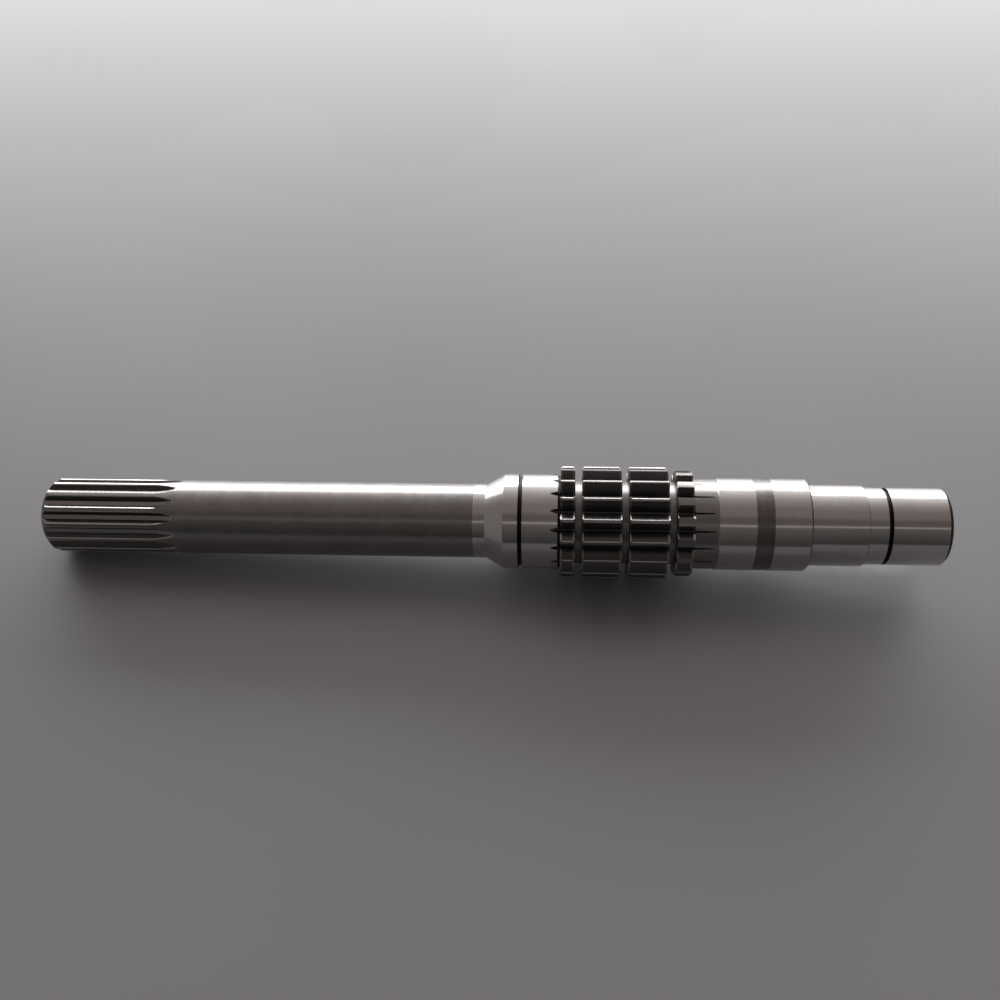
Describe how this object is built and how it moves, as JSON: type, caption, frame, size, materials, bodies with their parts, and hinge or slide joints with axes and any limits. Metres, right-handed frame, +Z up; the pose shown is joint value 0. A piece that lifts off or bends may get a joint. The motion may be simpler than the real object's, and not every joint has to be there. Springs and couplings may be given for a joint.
{
  "type": "clutch shaft",
  "caption": "Turned and ground clutch shaft with a splined input end, a collar with a ring groove, a grooved toothed stretch and stepped bearing seats.",
  "frame": {"origin": "on the floor, under the middle of the shaft's length as it lies at rest", "axes": "+X along the length from the input spline to the end journal, +Z up; the shaft's own axis rises 1.91 degrees towards +X, because it lies on a spline tooth at one end and on the larger teeth past its middle"},
  "size_m": [0.4816, 0.0584, 0.0603],
  "materials": {
    "steel": "blackened on the shank and between the teeth, ground bright on the collar, seats and journals"
  },
  "bodies": {
    "root": {"clutch_shaft": "steel"}
  },
  "joints": []
}
